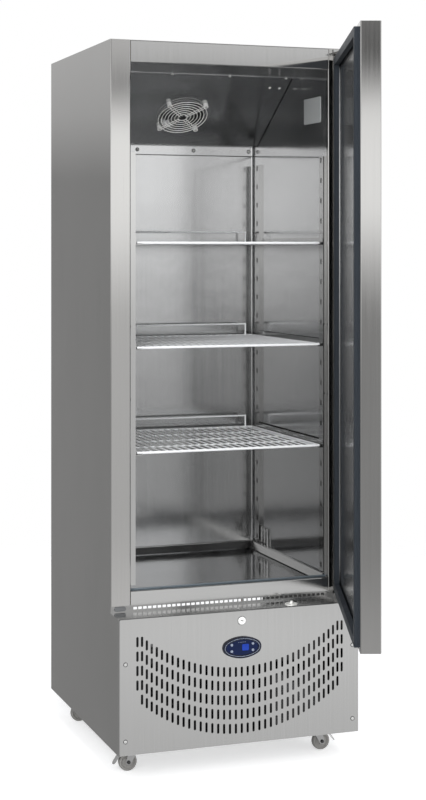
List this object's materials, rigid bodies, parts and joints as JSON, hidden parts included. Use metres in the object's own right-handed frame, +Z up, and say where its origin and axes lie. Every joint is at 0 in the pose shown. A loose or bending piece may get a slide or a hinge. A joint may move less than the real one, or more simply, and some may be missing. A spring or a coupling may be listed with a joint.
{
  "type": "upright freezer",
  "caption": "Upright freezer with a hinged solid door, wire shelves, a slotted machine bay panel with a controller and lock, and swivelling castors.",
  "frame": {"origin": "on the floor, below the centre of the bounding box with the door open", "axes": "+X to the right seen from the front, +Y to the back, +Z up"},
  "size_m": [0.6936, 1.307, 1.945],
  "materials": {
    "brushed_steel": "brushed",
    "polished_steel": "bright annealed",
    "zinc_plated": "satin",
    "white_wire": "plastic coated wire",
    "white_plastic": "moulded",
    "gasket_rubber": "matt",
    "foam": "rigid foam",
    "control_blue": "printed film",
    "button_grey": "moulded",
    "black_enamel": "enamel",
    "grey_plastic": "moulded",
    "fan_plastic": "moulded",
    "wheel_rubber": "worn",
    "copper": "drawn tube"
  },
  "bodies": {
    "cabinet": {"side_panel_left": "brushed_steel", "side_panel_right": "brushed_steel", "roof_panel": "brushed_steel", "rear_panel": "zinc_plated", "front_sill": "brushed_steel", "foam_left": "foam", "foam_right": "foam", "foam_top": "foam", "foam_back": "foam", "foam_floor": "foam", "inner_liner": "polished_steel", "floor_pan": "polished_steel", "pilasters": "polished_steel", "shelf_runners": "zinc_plated", "corner_bracket": "zinc_plated", "evaporator_cover": "polished_steel", "fan_guard": "zinc_plated", "evaporator_coil": "zinc_plated", "fan_motors": "black_enamel", "pan_head_screws": "zinc_plated", "grille_panel": "brushed_steel", "controller_bezel": "zinc_plated", "controller_face": "control_blue", "lock_body": "zinc_plated", "door_switch_body": "white_plastic", "base_tray": "zinc_plated", "compressor": "black_enamel", "condenser_coil": "black_enamel", "condenser_shroud": "black_enamel", "refrigerant_pipes": "copper", "drip_tray": "grey_plastic", "electrical_box": "grey_plastic", "hinge_brackets": "brushed_steel"},
    "door": {"door_skin": "brushed_steel", "door_foam": "foam", "door_liner": "polished_steel", "door_gasket": "gasket_rubber", "door_bushes": "white_plastic"},
    "shelf_top": {"shelf_top": "white_wire"},
    "shelf_middle": {"shelf_middle": "white_wire"},
    "shelf_bottom": {"shelf_bottom": "white_wire"},
    "door_switch_plunger": {"door_switch_plunger": "white_plastic"},
    "button_upper_left": {"button_upper_left": "button_grey"},
    "button_lower_left": {"button_lower_left": "button_grey"},
    "button_upper_right": {"button_upper_right": "button_grey"},
    "button_lower_right": {"button_lower_right": "button_grey"},
    "lock_barrel": {"lock_barrel": "zinc_plated"},
    "lock_bolt": {"lock_bolt": "zinc_plated"},
    "evaporator_fan": {"evaporator_fan_blade": "fan_plastic"},
    "condenser_fan": {"condenser_fan_blade": "fan_plastic"},
    "castor_front_left": {"castor_fork_front_left": "zinc_plated"},
    "wheel_front_left": {"castor_wheel_front_left": "wheel_rubber"},
    "castor_front_right": {"castor_fork_front_right": "zinc_plated"},
    "wheel_front_right": {"castor_wheel_front_right": "wheel_rubber"},
    "castor_rear_left": {"castor_fork_rear_left": "zinc_plated"},
    "wheel_rear_left": {"castor_wheel_rear_left": "wheel_rubber"},
    "castor_rear_right": {"castor_fork_rear_right": "zinc_plated"},
    "wheel_rear_right": {"castor_wheel_rear_right": "wheel_rubber"},
    "brake_pedal_left": {"brake_pedal_left": "black_enamel"},
    "brake_pedal_right": {"brake_pedal_right": "black_enamel"}
  },
  "joints": [
    {"name": "door_hinge", "type": "hinge", "parent": "cabinet", "child": "door", "pos_m": [0.31815, -0.0195, 0.442], "axis": [0, 0, 1], "range_deg": [-70.3, 40]},
    {"name": "shelf_top_slide", "type": "slide", "parent": "cabinet", "child": "shelf_top", "axis": [0, -1, 0], "range_m": [0, 0.085]},
    {"name": "shelf_middle_slide", "type": "slide", "parent": "cabinet", "child": "shelf_middle", "axis": [0, -1, 0], "range_m": [0, 0.085]},
    {"name": "shelf_bottom_slide", "type": "slide", "parent": "cabinet", "child": "shelf_bottom", "axis": [0, -1, 0], "range_m": [0, 0.085]},
    {"name": "door_switch_press", "type": "slide", "parent": "cabinet", "child": "door_switch_plunger", "axis": [0, 0, -1], "range_m": [0, 0.004], "stiffness_N_per_m": 400, "springref_m": -0.002},
    {"name": "button_upper_left_press", "type": "slide", "parent": "cabinet", "child": "button_upper_left", "axis": [0, 1, 0], "range_m": [0, 0.0012], "stiffness_N_per_m": 600, "springref_m": -0.001},
    {"name": "button_upper_right_press", "type": "slide", "parent": "cabinet", "child": "button_upper_right", "axis": [0, 1, 0], "range_m": [0, 0.0012], "stiffness_N_per_m": 600, "springref_m": -0.001},
    {"name": "button_lower_left_press", "type": "slide", "parent": "cabinet", "child": "button_lower_left", "axis": [0, 1, 0], "range_m": [0, 0.0012], "stiffness_N_per_m": 600, "springref_m": -0.001},
    {"name": "button_lower_right_press", "type": "slide", "parent": "cabinet", "child": "button_lower_right", "axis": [0, 1, 0], "range_m": [0, 0.0012], "stiffness_N_per_m": 600, "springref_m": -0.001},
    {"name": "lock_turn", "type": "hinge", "parent": "cabinet", "child": "lock_barrel", "pos_m": [-0.00685, -0.0595, 0.4045], "axis": [0, 1, 0], "range_deg": [0, 90]},
    {"name": "lock_bolt_slide", "type": "slide", "parent": "cabinet", "child": "lock_bolt", "axis": [0, 0, 1], "range_m": [0, 0.016]},
    {"name": "evaporator_fan_spin", "type": "hinge", "parent": "cabinet", "child": "evaporator_fan", "pos_m": [-0.00685, 0.4355, 1.78374], "axis": [0, -0.5437, -0.8393], "continuous": true},
    {"name": "condenser_fan_spin", "type": "hinge", "parent": "cabinet", "child": "condenser_fan", "pos_m": [-0.06685, 0.0925, 0.2112], "axis": [0, -1, 0], "continuous": true},
    {"name": "castor_front_left_swivel", "type": "hinge", "parent": "cabinet", "child": "castor_front_left", "pos_m": [-0.26885, 0.0635, 0.077], "axis": [0, 0, 1], "continuous": true},
    {"name": "wheel_front_left_roll", "type": "hinge", "parent": "castor_front_left", "child": "wheel_front_left", "pos_m": [-0.28685, 0.0635, 0.025], "axis": [0, 1, 0], "continuous": true},
    {"name": "castor_front_right_swivel", "type": "hinge", "parent": "cabinet", "child": "castor_front_right", "pos_m": [0.25515, 0.0635, 0.077], "axis": [0, 0, 1], "continuous": true},
    {"name": "wheel_front_right_roll", "type": "hinge", "parent": "castor_front_right", "child": "wheel_front_right", "pos_m": [0.27315, 0.0635, 0.025], "axis": [0, 1, 0], "continuous": true},
    {"name": "castor_rear_left_swivel", "type": "hinge", "parent": "cabinet", "child": "castor_rear_left", "pos_m": [-0.26885, 0.5585, 0.077], "axis": [0, 0, 1], "continuous": true},
    {"name": "wheel_rear_left_roll", "type": "hinge", "parent": "castor_rear_left", "child": "wheel_rear_left", "pos_m": [-0.28685, 0.5585, 0.025], "axis": [0, 1, 0], "continuous": true},
    {"name": "castor_rear_right_swivel", "type": "hinge", "parent": "cabinet", "child": "castor_rear_right", "pos_m": [0.25515, 0.5585, 0.077], "axis": [0, 0, 1], "continuous": true},
    {"name": "wheel_rear_right_roll", "type": "hinge", "parent": "castor_rear_right", "child": "wheel_rear_right", "pos_m": [0.27315, 0.5585, 0.025], "axis": [0, 1, 0], "continuous": true},
    {"name": "brake_pedal_left_press", "type": "hinge", "parent": "castor_front_left", "child": "brake_pedal_left", "pos_m": [-0.30885, 0.0635, 0.047], "axis": [0, -1, 0], "range_deg": [0, 15]},
    {"name": "brake_pedal_right_press", "type": "hinge", "parent": "castor_front_right", "child": "brake_pedal_right", "pos_m": [0.29515, 0.0635, 0.047], "axis": [0, 1, 0], "range_deg": [0, 15]}
  ],
  "couplings": [
    {"joint": "lock_turn", "follows": "lock_bolt_slide", "rad_per_m": 98.077}
  ]
}
